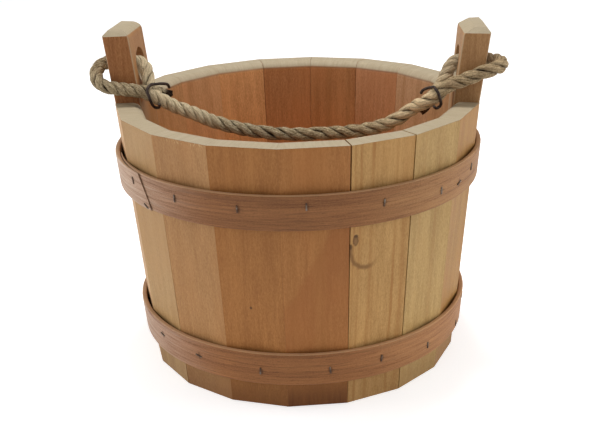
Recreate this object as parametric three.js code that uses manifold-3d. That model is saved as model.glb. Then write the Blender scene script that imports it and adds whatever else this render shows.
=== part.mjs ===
// A coopered well bucket: tapered staves held by two bent-wood hoops round a crozed bottom,
// with a rope handle tied through the two staves that rise above the rim as ears.
// Millimetres, +Z up. The origin lies on the floor under the centre, with the ears on X.
import * as THREE from "three";
import { mergeVertices } from "three/addons/utils/BufferGeometryUtils.js";
import Module from "manifold-3d";

// Staves
const STAVE_COUNT = 18; // even, so that the two ears face each other
const BODY_HEIGHT = 220; // from the floor to the rim
const RIM_WIDTH = 300; // across the outer flats at the rim
const FOOT_WIDTH = 267; // across the outer flats at the floor
const STAVE_THICKNESS = 21;
const JOINT_GAP = 0.3; // between neighbouring staves
const RIM_ROUND = 7; // radius on the inner edge of each stave's top
const FOOT_BEVEL = 3; // on the inner edge of each stave's foot

// Ears
const EAR_RISE = 60; // above the rim
const EAR_HOLE = 28; // diameter
const EAR_HOLE_RISE = 27.5; // the hole's centre above the rim
const EAR_CHAMFER = 4.5; // along the two side edges of the top
const EAR_OUTER_CHAMFER = 4; // along the outer edge of the top

// Bottom
const CROZE_HEIGHT = 18; // the groove's lower edge above the floor
const CROZE_WIDTH = 10;
const CROZE_DEPTH = 7; // into the middle of a stave's inner face
const BOTTOM_THICKNESS = 16;
const BOTTOM_BEVEL = 8; // how far in from its tongue the bottom reaches its full thickness
const BOTTOM_BOARDS = 3;
const SEAT_GAP = 0.3; // between the bottom, the hoops and the staves that carry them

// Hoops
const HOOP_WIDTH = 28;
const HOOP_THICKNESS = 4;
const HOOP_TIP = 1; // thickness left at each thinned end of a hoop
const HOOP_LAP = 25; // degrees over which the two ends overlap
const HOOP_END_SLANT = 13; // how far the outer end leans over the width of the hoop
const UPPER_HOOP_DROP = 34.5; // from the rim to the upper hoop's top edge
const UPPER_HOOP_END = 225; // degrees from +X to the upper hoop's outer end
const LOWER_HOOP_HEIGHT = 23.5; // from the floor to the lower hoop's bottom edge
const LOWER_HOOP_END = 60; // degrees from +X to the lower hoop's outer end
const HOOP_STEP = 5; // degrees between the sections of a hoop

// Rope and the wire rings that close its loops
const ROPE_DIAMETER = 11;
const ROPE_STEPS = 80;
const ROPE_SIDES = 10;
const WIRE_DIAMETER = 3;
const WIRE_STEPS = 20;
const WIRE_SIDES = 8;
const SWING_GAP = 0.3; // between the loops and the span that swings

// The rope's route, from the throat where the span starts, round the ear, to the cut tail.
// Each point is [outwards, along Y, up] from the centre of that ear's hole.
const LEFT_LOOP = [
  [-43.5, -25, -31.3],
  [-34.5, -28, -25.5],
  [-25.5, -30.5, -20],
  [-17.5, -31, -16.5],
  [-6.5, -31.2, -15],
  [8.5, -33, -12.5],
  [17, -30.5, -10.5],
  [23, -23.5, -6],
  [23.5, -14.5, -0.5],
  [18, -7.5, 3],
  [8.5, -4.5, 3.8],
  [-2, -3, 3.8],
  [-10.5, -4.2, 1.5],
  [-16.3, -8.5, -4],
  [-18, -13.5, -10.5],
  [-21.8, -17.2, -17],
  [-29, -17.5, -21],
  [-38, -17, -21.8],
];
const RIGHT_LOOP = [
  [-43.5, -25, -31.3],
  [-34.8, -28.9, -26.2],
  [-26, -31.7, -20],
  [-17.5, -31.3, -12.6],
  [-4.5, -31.7, -7.4],
  [8.5, -33.8, -1.4],
  [18, -31.4, 1.1],
  [23.9, -24.2, 2.4],
  [23.8, -14.8, 3.4],
  [17.2, -7.6, 3.2],
  [6.5, -3.5, 3.5],
  [-4, -3, 3],
  [-12, -4.8, 0.3],
  [-17.2, -10, -6],
  [-21, -15.3, -13.8],
  [-26.3, -18.2, -21.2],
  [-32, -17.2, -29.2],
  [-37.6, -16.8, -38],
];
// The span's route: [share of the way from the middle to a throat, drop below the throats].
const LEFT_SPAN = [
  [0.87, 4.6],
  [0.7, 11.8],
  [0.5, 17.4],
  [0.25, 21.7],
];
const RIGHT_SPAN = [
  [0.87, 9.4],
  [0.7, 16.7],
  [0.5, 20.3],
  [0.25, 22.3],
];
const SPAN_DROP = 23.1; // at the middle

// The wire's route round both strands, in the same frame as that side's loop.
const LEFT_RING = [
  [-31.8, -36.6, -25.4],
  [-30.5, -33.8, -29],
  [-27, -33, -29.2],
  [-25.2, -37, -24.2],
  [-24.1, -38.4, -18.5],
  [-22.6, -37.3, -13.8],
  [-24, -32, -11],
  [-27.5, -22, -12.2],
  [-31, -16.5, -13.2],
  [-33.8, -11.5, -15.2],
  [-34.6, -9, -18.8],
];
const RIGHT_RING = [
  [-38.5, -17, -22.3],
  [-36.8, -18, -19.2],
  [-33.4, -20.6, -16.9],
  [-30.6, -27, -14.7],
  [-28.2, -35.6, -12.8],
  [-25.3, -39.2, -16.5],
  [-23.8, -39.2, -21.3],
  [-22.9, -37.2, -25.2],
  [-23.7, -35.4, -28],
  [-26.2, -36.8, -29.2],
  [-28.7, -40, -26.9],
];

const WELD = 1e-3; // vertices closer than this are one
const ROUND_STEPS = 5; // straight steps in the round of a stave's top
const HOLE_STEPS = 40; // straight steps round an ear's hole
const CROZE_STEPS = 8 * STAVE_COUNT; // straight steps round the croze
const BOTTOM_STEPS = 4 * STAVE_COUNT; // straight steps round the bottom
const PAST = 5; // how far a cutting solid stands past what it cuts
const HALF_PITCH = Math.PI / STAVE_COUNT; // half of the angle that one stave takes
const EAR_TOP = BODY_HEIGHT + EAR_RISE;
const HOLE_HEIGHT = BODY_HEIGHT + EAR_HOLE_RISE;
const CROZE_TOP = CROZE_HEIGHT + CROZE_WIDTH;

// Distance from the axis to a stave's outer face, inner face and outer corner at a height.
function outerFace(z) {
  return FOOT_WIDTH / 2 + ((RIM_WIDTH - FOOT_WIDTH) / 2) * (z / BODY_HEIGHT);
}
function innerFace(z) {
  return outerFace(z) - STAVE_THICKNESS;
}
function outerCorner(z) {
  return outerFace(z) / Math.cos(HALF_PITCH);
}

const CROZE_RADIUS = innerFace(CROZE_HEIGHT) + CROZE_DEPTH;
const HOLE_REACH = outerFace(HOLE_HEIGHT) - STAVE_THICKNESS / 2; // from the axis to the hole's centre

const wasm = await Module();
wasm.setup();

// A closed geometry as a solid that can be joined and cut.
function solidOf(geometry) {
  const bare = new THREE.BufferGeometry();
  bare.setAttribute("position", geometry.getAttribute("position"));
  bare.setIndex(geometry.getIndex());
  const merged = mergeVertices(bare, WELD);
  const mesh = new wasm.Mesh({
    numProp: 3,
    vertProperties: new Float32Array(merged.getAttribute("position").array),
    triVerts: new Uint32Array(merged.getIndex().array),
  });
  return new wasm.Manifold(mesh);
}

function geometryOf(solid) {
  const mesh = solid.getMesh();
  const geometry = new THREE.BufferGeometry();
  geometry.setAttribute("position", new THREE.BufferAttribute(mesh.vertProperties, 3));
  geometry.setIndex(new THREE.BufferAttribute(mesh.triVerts, 1));
  geometry.computeVertexNormals();
  return geometry;
}

function boxSolid(low, high) {
  const size = high.map((value, axis) => value - low[axis]);
  const geometry = new THREE.BoxGeometry(...size);
  geometry.translate(...low.map((value, axis) => value + size[axis] / 2));
  return solidOf(geometry);
}

const bucket = new THREE.Group();

function addMesh(name, geometry, material) {
  const mesh = new THREE.Mesh(geometry, material);
  mesh.name = name;
  bucket.add(mesh);
  return mesh;
}

function staveWood() {
  return new THREE.MeshStandardMaterial({ color: 0xb98a58, roughness: 0.62, metalness: 0 });
}
function bottomWood() {
  return new THREE.MeshStandardMaterial({ color: 0xa8714a, roughness: 0.66, metalness: 0 });
}
function hoopWood() {
  return new THREE.MeshStandardMaterial({ color: 0xa5795a, roughness: 0.6, metalness: 0 });
}
function ropeFibre() {
  return new THREE.MeshStandardMaterial({ color: 0xb0a27e, roughness: 0.95, metalness: 0 });
}
function darkWire() {
  return new THREE.MeshStandardMaterial({ color: 0x2a1d14, roughness: 0.5, metalness: 0.8 });
}

// A stave standing on +X: its side view, drawn out along Y and cut to its two joint faces.
function staveSolid(top) {
  const view = new THREE.Shape();
  view.moveTo(outerFace(0), 0);
  view.lineTo(outerFace(top), top);
  const roundBase = top - RIM_ROUND;
  view.absarc(innerFace(roundBase) + RIM_ROUND, roundBase, RIM_ROUND, Math.PI / 2, Math.PI);
  view.lineTo(innerFace(FOOT_BEVEL), FOOT_BEVEL);
  view.lineTo(innerFace(0) + FOOT_BEVEL, 0);
  view.closePath();
  const reach = outerFace(top) * Math.tan(HALF_PITCH) + PAST;
  const plank = new THREE.ExtrudeGeometry(view, {
    depth: 2 * reach,
    bevelEnabled: false,
    curveSegments: ROUND_STEPS,
  });
  plank.translate(0, 0, -reach);
  plank.rotateX(Math.PI / 2);

  const sector = new THREE.Shape();
  const far = outerFace(top) + PAST;
  const trim = JOINT_GAP / 2 / Math.cos(HALF_PITCH);
  sector.moveTo(trim / Math.tan(HALF_PITCH), 0);
  sector.lineTo(far, far * Math.tan(HALF_PITCH) - trim);
  sector.lineTo(far, trim - far * Math.tan(HALF_PITCH));
  sector.closePath();
  const wedge = new THREE.ExtrudeGeometry(sector, { depth: top + 2 * PAST, bevelEnabled: false });
  wedge.translate(0, 0, -PAST);

  const groove = new THREE.CylinderGeometry(CROZE_RADIUS, CROZE_RADIUS, CROZE_WIDTH, CROZE_STEPS);
  groove.rotateX(Math.PI / 2);
  groove.translate(0, 0, CROZE_HEIGHT + CROZE_WIDTH / 2);
  return solidOf(plank).intersect(solidOf(wedge)).subtract(solidOf(groove));
}

// An ear stave rises above the rim, with a hole for the rope and chamfered edges on top.
function earStaveSolid() {
  const hole = new THREE.CylinderGeometry(EAR_HOLE / 2, EAR_HOLE / 2, 2 * STAVE_THICKNESS, HOLE_STEPS);
  hole.rotateZ(Math.PI / 2);
  hole.translate(HOLE_REACH, 0, HOLE_HEIGHT);
  let ear = staveSolid(EAR_TOP).subtract(solidOf(hole));
  for (const side of [-1, 1]) {
    const edge = EAR_CHAMFER * Math.SQRT2;
    const cutter = new THREE.BoxGeometry(2 * outerFace(EAR_TOP), edge, edge);
    cutter.rotateX(Math.PI / 4);
    cutter.translate(outerFace(EAR_TOP), -side * (JOINT_GAP / 2), EAR_TOP);
    cutter.rotateZ(side * HALF_PITCH);
    ear = ear.subtract(solidOf(cutter));
  }
  const outerEdge = EAR_OUTER_CHAMFER * Math.SQRT2;
  const outerCutter = new THREE.BoxGeometry(outerEdge, 2 * outerFace(EAR_TOP), outerEdge);
  outerCutter.rotateY(Math.PI / 4);
  outerCutter.translate(outerFace(EAR_TOP), 0, EAR_TOP);
  return ear.subtract(solidOf(outerCutter));
}

function addStaves() {
  const plain = geometryOf(staveSolid(BODY_HEIGHT));
  const ear = geometryOf(earStaveSolid());
  const places = [...Array(STAVE_COUNT).keys()];
  const leftPlace = STAVE_COUNT / 2;
  const addStave = (name, geometry, place) => {
    addMesh(name, geometry.clone(), staveWood()).rotation.z = 2 * HALF_PITCH * place;
  };
  addStave("right_ear_stave", ear, 0);
  addStave("left_ear_stave", ear, leftPlace);
  const plainPlaces = places.filter((place) => place % leftPlace !== 0);
  plainPlaces.forEach((place, index) => {
    addStave(`stave_${String(index + 1).padStart(2, "0")}`, plain, place);
  });
}

// The bottom is a round of edge-joined boards, bevelled to a tongue that sits in the croze.
function addBottom() {
  const tongueEnd = CROZE_RADIUS - SEAT_GAP;
  const shoulder = innerFace(CROZE_HEIGHT) - SEAT_GAP;
  const low = CROZE_HEIGHT + SEAT_GAP;
  const high = CROZE_TOP - SEAT_GAP;
  const middle = (low + high) / 2;
  const under = middle - BOTTOM_THICKNESS / 2;
  const over = middle + BOTTOM_THICKNESS / 2;
  const profile = [
    [0, under],
    [shoulder - BOTTOM_BEVEL, under],
    [shoulder, low],
    [tongueEnd, low],
    [tongueEnd, high],
    [shoulder, high],
    [shoulder - BOTTOM_BEVEL, over],
    [0, over],
  ].map(([radius, height]) => new THREE.Vector2(radius, height));
  const round = new THREE.LatheGeometry(profile, BOTTOM_STEPS);
  round.rotateX(Math.PI / 2);
  const whole = solidOf(round);
  const boardWidth = (2 * tongueEnd) / BOTTOM_BOARDS;
  for (let board = 0; board < BOTTOM_BOARDS; board += 1) {
    const from = -tongueEnd + board * boardWidth + (board > 0 ? JOINT_GAP / 2 : -PAST);
    const to = -tongueEnd + (board + 1) * boardWidth + (board < BOTTOM_BOARDS - 1 ? -JOINT_GAP / 2 : PAST);
    const slice = boxSolid([-tongueEnd - PAST, from, under - PAST], [tongueEnd + PAST, to, over + PAST]);
    addMesh(`bottom_board_${board + 1}`, geometryOf(whole.intersect(slice)), bottomWood());
  }
}

// A solid lofted through four-cornered sections, closed by a flat face at each end.
function loft(sections) {
  const corners = 4;
  const positions = sections.flat(2);
  const triangles = [
    [0, 1, 2],
    [0, 2, 3],
  ];
  for (let row = 0; row < sections.length - 1; row += 1) {
    for (let corner = 0; corner < corners; corner += 1) {
      const next = (corner + 1) % corners;
      const here = row * corners;
      const ahead = here + corners;
      triangles.push([here + corner, ahead + corner, ahead + next]);
      triangles.push([here + corner, ahead + next, here + next]);
    }
  }
  const last = (sections.length - 1) * corners;
  triangles.push([last, last + 2, last + 1], [last, last + 3, last + 2]);
  const geometry = new THREE.BufferGeometry();
  geometry.setAttribute("position", new THREE.Float32BufferAttribute(positions, 3));
  geometry.setIndex(triangles.flat());
  geometry.computeVertexNormals();
  return geometry;
}

// A hoop is one strip bent round the staves. Its ends are thinned so that the outer one lies over
// the inner one, and the outer end is cut on a slant.
function addHoop(name, base, endAngle) {
  const seat = outerCorner(base) + SEAT_GAP;
  const flare = outerCorner(base + HOOP_WIDTH) - outerCorner(base);
  const turn = 360 + HOOP_LAP;
  const sections = [];
  for (let angle = 0; angle <= turn; angle += HOOP_STEP) {
    const startShare = Math.min(angle / HOOP_LAP, 1);
    const endShare = Math.max((angle - 360) / HOOP_LAP, 0);
    const liftShare = THREE.MathUtils.clamp((angle - 360 + HOOP_LAP) / HOOP_LAP, 0, 1);
    const tipLift = (HOOP_TIP + SEAT_GAP) * liftShare;
    const inner = seat + tipLift + (HOOP_THICKNESS - HOOP_TIP) * endShare;
    const thinned = HOOP_TIP + (HOOP_THICKNESS - HOOP_TIP) * startShare;
    const outer = endShare > 0 || liftShare > 0 ? seat + HOOP_THICKNESS + tipLift : seat + thinned;
    const turned = THREE.MathUtils.degToRad(endAngle - HOOP_LAP + angle);
    const lean = (endShare * HOOP_END_SLANT) / 2 / seat;
    const corner = (radius, along, height) => [
      radius * Math.cos(turned + along),
      radius * Math.sin(turned + along),
      height,
    ];
    sections.push([
      corner(inner, lean, base),
      corner(outer, lean, base),
      corner(outer + flare, -lean, base + HOOP_WIDTH),
      corner(inner + flare, -lean, base + HOOP_WIDTH),
    ]);
  }
  addMesh(name, loft(sections), hoopWood());
}

function addHoops() {
  addHoop("upper_hoop", BODY_HEIGHT - UPPER_HOOP_DROP - HOOP_WIDTH, UPPER_HOOP_END);
  addHoop("lower_hoop", LOWER_HOOP_HEIGHT, LOWER_HOOP_END);
}

function tube(points, diameter, steps, sides) {
  const section = new THREE.Shape();
  section.absarc(0, 0, diameter / 2, 0, 2 * Math.PI);
  const route = new THREE.CatmullRomCurve3(points);
  return new THREE.ExtrudeGeometry(section, { steps, extrudePath: route, curveSegments: sides / 2 });
}

// Points given from the centre of an ear's hole, with side -1 for the left ear and 1 for the right.
function fromHole(points, side) {
  return points.map(
    ([out, along, up]) => new THREE.Vector3(side * (HOLE_REACH + out), along, HOLE_HEIGHT + up),
  );
}

// One rope runs from tail to tail, and is parted at the two throats, where its span swings.
function addRope() {
  const left = fromHole(LEFT_LOOP, -1);
  const right = fromHole(RIGHT_LOOP, 1);
  const throat = right[0];
  const hang = (share, drop) => new THREE.Vector3(throat.x * share, throat.y, throat.z - drop);
  const span = [
    ...LEFT_SPAN.map(([share, drop]) => hang(-share, drop)),
    hang(0, SPAN_DROP),
    ...RIGHT_SPAN.map(([share, drop]) => hang(share, drop)).reverse(),
  ];
  const rope = solidOf(tube([...left.reverse(), ...span, ...right], ROPE_DIAMETER, ROPE_STEPS, ROPE_SIDES));
  const far = 2 * RIM_WIDTH;
  const part = (from, to) => geometryOf(rope.intersect(boxSolid([from, -far, -far], [to, far, far])));
  const swings = throat.x - SWING_GAP / 2;
  const stays = throat.x + SWING_GAP / 2;
  addMesh("rope_loop_left", part(-far, -stays), ropeFibre());
  addMesh("rope_span", part(-swings, swings), ropeFibre());
  addMesh("rope_loop_right", part(stays, far), ropeFibre());
}

function addRings() {
  const left = tube(fromHole(LEFT_RING, -1), WIRE_DIAMETER, WIRE_STEPS, WIRE_SIDES);
  const right = tube(fromHole(RIGHT_RING, 1), WIRE_DIAMETER, WIRE_STEPS, WIRE_SIDES);
  addMesh("wire_ring_left", left, darkWire());
  addMesh("wire_ring_right", right, darkWire());
}

addStaves();
addBottom();
addHoops();
addRope();
addRings();

export default bucket;
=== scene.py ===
"""A coopered well bucket with a rope handle: its visual model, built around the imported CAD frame."""
import random
from math import atan, cos, hypot, pi, radians, sin, sqrt, tan

import bmesh
import bpy
from mathutils import Matrix, Vector


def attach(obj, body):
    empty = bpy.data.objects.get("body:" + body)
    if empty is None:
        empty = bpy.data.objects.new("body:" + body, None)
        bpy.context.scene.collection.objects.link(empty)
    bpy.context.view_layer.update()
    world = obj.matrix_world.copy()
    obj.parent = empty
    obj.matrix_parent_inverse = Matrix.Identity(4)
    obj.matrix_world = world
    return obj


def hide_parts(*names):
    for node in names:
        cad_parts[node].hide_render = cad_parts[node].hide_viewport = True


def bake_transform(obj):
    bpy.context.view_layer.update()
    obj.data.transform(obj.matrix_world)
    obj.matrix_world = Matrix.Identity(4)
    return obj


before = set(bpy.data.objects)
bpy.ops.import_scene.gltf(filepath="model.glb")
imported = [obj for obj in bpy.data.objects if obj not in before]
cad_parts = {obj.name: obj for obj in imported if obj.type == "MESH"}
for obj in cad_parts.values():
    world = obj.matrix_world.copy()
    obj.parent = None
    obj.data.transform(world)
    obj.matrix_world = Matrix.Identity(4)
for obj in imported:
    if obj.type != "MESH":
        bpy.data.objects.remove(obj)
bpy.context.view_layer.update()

bpy.context.scene.view_settings.view_transform = "Standard"


# ---- Plain staves ----
# Sixteen tapered boards of pale hardwood stand in a ring that is wider at the rim than at the foot.
# All come from one planed blank, rounded over inside the rim and grooved (crozed) for the bottom.
# Each is then jointed on two planes through the bucket's axis, and the hoops press them together.
BODY_HEIGHT = 0.220
FOOT_FACE = 0.1335  # from the axis to a stave's outer face at the floor
FLARE = 0.075  # how far that face leans out for each unit of height
STAVE_THICKNESS = 0.021
STAVE_COUNT = 18
PITCH = 2 * pi / STAVE_COUNT
RIM_ROUND = 0.007
FOOT_BEVEL = 0.003
EDGE_EASE = 0.0007
CROZE_LOW = 0.018
CROZE_HIGH = 0.028
CROZE_DEPTH = 0.007
JOINT_EASE = 0.00015
# Joints that have worn open: the place before each, counted anticlockwise, and how wide it is at the
# rim and at the foot.
WORN_JOINTS = {
    2: (0.0003, 0.0003), 3: (0.0004, 0.0004), 4: (0.0003, 0.0003), 5: (0.0004, 0.0004),
    11: (0.00006, 0.0007), 14: (0.0011, 0.0002), 15: (0.0011, 0.0008),
}
WORN_DEPTH = 0.006  # how far in from the faces and the top such a joint is open
BLANK_NEAR, BLANK_FAR = 0.100, 0.170  # the rough board before it is planed, from the axis
BLANK_SPARE = 0.006  # and its extra width beyond each joint
NEAR = 1e-6
ON_PLANE = 1e-5
FACING = 0.9  # a face looks along an axis when its normal reaches this on it
SQUARE_ON = 0.999
SLANT_LOW, SLANT_HIGH = 0.5, 0.9  # and it slants when its normal's height lies between these
SMOOTH_ANGLE = radians(40)


def outer_face(height):
    return FOOT_FACE + FLARE * height


def inner_face(height):
    return outer_face(height) - STAVE_THICKNESS


def select_none():
    bpy.ops.object.select_all(action="DESELECT")


def only(piece):
    """Makes a piece the only selected object and the active one."""
    select_none()
    piece.select_set(True)
    bpy.context.view_layer.objects.active = piece


def edit(piece):
    only(piece)
    bpy.ops.object.mode_set(mode="EDIT")


def close_edit():
    bpy.ops.object.mode_set(mode="OBJECT")


def settle():
    """Keeps the active piece's place, turn and size in its mesh."""
    bpy.ops.object.transform_apply(location=True, rotation=True, scale=True)


def add_block(name, low, high):
    """Starts a piece as a block between two corners, and leaves it in edit mode."""
    select_none()
    middle = [(a + b) / 2 for a, b in zip(low, high)]
    size = [b - a for a, b in zip(low, high)]
    bpy.ops.mesh.primitive_cube_add(size=1, location=middle, scale=size)
    block = bpy.context.object
    block.name = name
    settle()
    edit(block)
    return block


def pick(kind, wanted):
    """Selects the edges or faces of the piece in edit mode that pass a test, and nothing else."""
    bpy.ops.mesh.select_mode(type="EDGE" if kind == "edges" else "FACE")
    bpy.ops.mesh.select_all(action="DESELECT")
    mesh = bmesh.from_edit_mesh(bpy.context.object.data)
    mesh.normal_update()
    for element in getattr(mesh, kind):
        if wanted(element):
            element.select_set(True)
    bmesh.update_edit_mesh(bpy.context.object.data)


def both_ends(wanted):
    return lambda edge: all(wanted(end.co) for end in edge.verts)


def score(point, normal, **rest):
    """Adds a ring of edges where a plane meets the piece."""
    bpy.ops.mesh.select_all(action="SELECT")
    bpy.ops.mesh.bisect(plane_co=point, plane_no=normal, threshold=NEAR, **rest)


def saw(point, normal):
    """Cuts the piece off at a plane and keeps what lies behind it."""
    score(point, normal, use_fill=True, clear_outer=True)


def draw_out(*move):
    bpy.ops.mesh.extrude_region_move(TRANSFORM_OT_translate={"value": move})


def ease(wanted, width, steps=2):
    """Rounds or bevels the edges that pass a test."""
    pick("edges", wanted)
    bpy.ops.mesh.bevel(offset=width, segments=steps, affect="EDGES", clamp_overlap=True)


def stave_blank(name, top, eased_top=True):
    """A planed board on +X, wider than a stave, with its faces, edges and croze cut."""
    reach = outer_face(top) * tan(PITCH / 2) + BLANK_SPARE
    blank = add_block(name, (BLANK_NEAR, -reach, 0), (BLANK_FAR, reach, top))
    saw((outer_face(0), 0, 0), (1, 0, -FLARE))
    saw((inner_face(0), 0, 0), (-1, 0, FLARE))

    def inside(co):
        return co.x < outer_face(co.z) - STAVE_THICKNESS / 2

    ease(both_ends(lambda co: co.z > top - NEAR and inside(co)), RIM_ROUND, 7)
    ease(both_ends(lambda co: co.z < NEAR and inside(co)), FOOT_BEVEL, 1)
    if eased_top:
        ease(both_ends(lambda co: co.z > top - NEAR and co.x > outer_face(top) - NEAR), EDGE_EASE)
    ease(both_ends(lambda co: co.z < NEAR and co.x > outer_face(0) - NEAR), EDGE_EASE)
    score((0, 0, CROZE_LOW), (0, 0, 1))
    score((0, 0, CROZE_HIGH), (0, 0, 1))
    pick("faces", lambda face: (
        face.normal.x < -FACING and CROZE_LOW < face.calc_center_median().z < CROZE_HIGH
    ))
    draw_out(CROZE_DEPTH, 0, 0)
    close_edit()
    return blank


def joint_normal(side):
    """Square out from a joint face of a stave on +X: side 1 is its face towards +Y."""
    return Vector((-sin(PITCH / 2), side * cos(PITCH / 2), 0))


def joint_stave(stave, widths, eased=True):
    """Planes both joint faces of a stave on +X, and eases their edges or wears them open."""
    edit(stave)
    for side, wear_and_sheen in zip((-1, 1), widths):
        normal = joint_normal(side)
        if wear_and_sheen:
            rim, foot = wear_and_sheen
            saw(normal * -foot / 2, normal + Vector((0, 0, (rim - foot) / 2 / BODY_HEIGHT)))
            score((outer_face(0) - WORN_DEPTH, 0, 0), (1, 0, -FLARE))
            score((inner_face(0) + WORN_DEPTH, 0, 0), (1, 0, -FLARE))
            score((0, 0, BODY_HEIGHT - WORN_DEPTH), (0, 0, 1))

            def still_shut(face):
                centre = face.calc_center_median()
                depth = outer_face(centre.z) - centre.x
                deep = WORN_DEPTH < depth < STAVE_THICKNESS - WORN_DEPTH
                below = centre.z < BODY_HEIGHT - WORN_DEPTH
                return deep and below and face.normal.dot(normal) > SQUARE_ON

            pick("faces", still_shut)
            draw_out(0, 0, 0)
            mesh = bmesh.from_edit_mesh(stave.data)
            for vertex in mesh.verts:
                if vertex.select:
                    vertex.co -= normal * normal.dot(vertex.co)
            bmesh.update_edit_mesh(stave.data)
        else:
            saw((0, 0, 0), normal)
            if eased:
                ease(both_ends(lambda co: abs(normal.dot(co)) < ON_PLANE), JOINT_EASE)
    close_edit()


def copy_of(piece, name):
    only(piece)
    bpy.ops.object.duplicate(linked=False)
    copy = bpy.context.object
    copy.name = name
    return copy


def turn_to(piece, angle):
    """Turns a piece about the bucket's axis and keeps its place in its mesh."""
    only(piece)
    piece.rotation_euler = (0, 0, angle)
    settle()


def set_shading(piece, wide_cut=None):
    """Smooth rounds and flat faces, as a planed and eased board has. Wide slant cuts stay flat too."""
    only(piece)
    bpy.ops.object.shade_smooth_by_angle(angle=SMOOTH_ANGLE)
    for face in piece.data.polygons:
        if wide_cut and face.area > wide_cut and SLANT_LOW < face.normal.z < SLANT_HIGH:
            face.use_smooth = False
    piece.modifiers.new("flat_faces", "WEIGHTED_NORMAL").keep_sharp = True
    bpy.ops.object.modifier_apply(modifier="flat_faces")


def fit_piece(piece, material, slot, *nodes):
    """Gives a finished piece its material, and stands it on the bucket for its CAD nodes."""
    piece.data.materials.append(material)
    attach(piece, "bucket")
    if nodes:
        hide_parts(*nodes)


def colour(given):
    """A colour in three screen values from 0 to 255, as the shader takes it. Others stay as given."""
    def linear(value):
        value /= 255
        return value / 12.92 if value <= 0.04045 else ((value + 0.055) / 1.055) ** 2.4
    on_screen = isinstance(given, tuple) and len(given) == 3
    return (*map(linear, given), 1.0) if on_screen else given


class Shade:
    """One socket of a material's nodes. Sums and products on it add Math nodes."""

    def __init__(self, tree, socket=None):
        self.tree = tree
        self.socket = socket

    def node(self, kind, settings=None, sockets=None, output=0):
        made = self.tree.nodes.new("ShaderNode" + kind)
        for name, value in (settings or {}).items():
            setattr(made, name, value)
        for name, value in (sockets or {}).items():
            if isinstance(value, Shade):
                self.tree.links.new(value.socket, made.inputs[name])
            else:
                made.inputs[name].default_value = value
        return None if output is None else Shade(self.tree, made.outputs[output])

    def math(self, operation, *values):
        return self.node("Math", {"operation": operation}, dict(enumerate(values)))

    def __add__(self, other):
        return self.math("ADD", self, other)

    def __sub__(self, other):
        return self.math("SUBTRACT", self, other)

    def __rsub__(self, other):
        return self.math("SUBTRACT", other, self)

    def __mul__(self, other):
        return self.math("MULTIPLY", self, other)

    def __truediv__(self, other):
        return self.math("DIVIDE", self, other)

    def __abs__(self):
        return self.math("ABSOLUTE", self)

    __radd__ = __add__
    __rmul__ = __mul__

    def between(self, low, high):
        """Goes smoothly from 0 at low to 1 at high."""
        ends = {"Value": self, "From Min": low, "From Max": high, "To Min": 0.0, "To Max": 1.0}
        return self.node("MapRange", {"interpolation_type": "SMOOTHSTEP"}, ends)

    def until(self, low, high):
        """Goes smoothly from 1 at low to 0 at high."""
        return 1.0 - self.between(low, high)

    def blend(self, under, over, way="MIX"):
        """A colour between two colours, with this value as the share of the second."""
        settings = {"data_type": "RGBA", "blend_type": way, "clamp_factor": True}
        return self.node("Mix", settings, {0: self, 6: colour(under), 7: colour(over)}, 2)

    def part(self, axis):
        return self.node("SeparateXYZ", None, {0: self}, axis)

    def coords(self, kind):
        return self.node("TexCoord", output=kind)

    def vector_math(self, operation, x, y, z, output=0):
        settings = {"operation": operation}
        return self.node("VectorMath", settings, {0: self, 1: (x, y, z)}, output)

    def turned(self, angle):
        """A place or direction turned about the bucket's axis."""
        return self.node("Mapping", None, {"Vector": self, "Rotation": (0, 0, angle)})

    def noise(self, x, y, z, detail=2.0, roughness=0.5, bend=0.0):
        """Noise with so many cells to the metre along each axis."""
        sockets = {"Vector": self.vector_math("MULTIPLY", x, y, z), "Scale": 1.0}
        sockets.update({"Detail": detail, "Roughness": roughness, "Distortion": bend})
        return self.node("TexNoise", None, sockets)


def open_nodes(owner):
    """Empties the nodes of a material or world, and starts on them without a socket."""
    owner.use_nodes = True
    owner.node_tree.nodes.clear()
    return Shade(owner.node_tree)


def new_finish(name):
    material = bpy.data.materials.new(name)
    return material, open_nodes(material)


def close_finish(start, base, roughness, height, bump, metal=0.0, shine=0.25):
    """Joins colour, roughness and relief to the surface of a finish."""
    relief = {"Height": height, "Strength": 1.0, "Distance": bump}
    normal = start.node("Bump", None, relief)
    sockets = {"Base Color": base, "Roughness": roughness, "Normal": normal, "Metallic": metal}
    sockets["Specular IOR Level"] = shine
    surface = start.node("BsdfPrincipled", None, sockets)
    start.node("OutputMaterial", None, {"Surface": surface}, None)


END_GRAIN_PALE = (187, 172, 145)
END_GRAIN_DARK = (161, 144, 115)
INNER_PAINTED_LIGHT = (1.36, 1.36, 1.36, 1.0)  # painted light: the inside is made lighter, away from the rim
INNER_DEPTH = (0.118, 0.124)  # within a stave, where its inside gives way to its outside
INNER_FADE = (0.135, 0.210)
OUTER_PAINTED_LIGHT = (1.10, 1.10, 1.10, 1.0)  # painted light on the outside too, low between the hoops
OUTER_RISE = (0.040, 0.050)
OUTER_FADE = (0.055, 0.150)
FOOT_DARK_TONE = (92, 50, 18)  # darker towards the foot
FOOT_DARK_FADE = (0.002, 0.034)
FOOT_DARKENING = 0.2


def tones(red, green, blue):
    """The light, dark and warm colours of one board, round its middle colour."""
    shares = (1.07, 1.09, 1.12), (0.91, 0.88, 0.84), (1.01, 0.95, 0.88)
    return [(red * r, green * g, blue * b) for r, g, b in shares]


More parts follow.
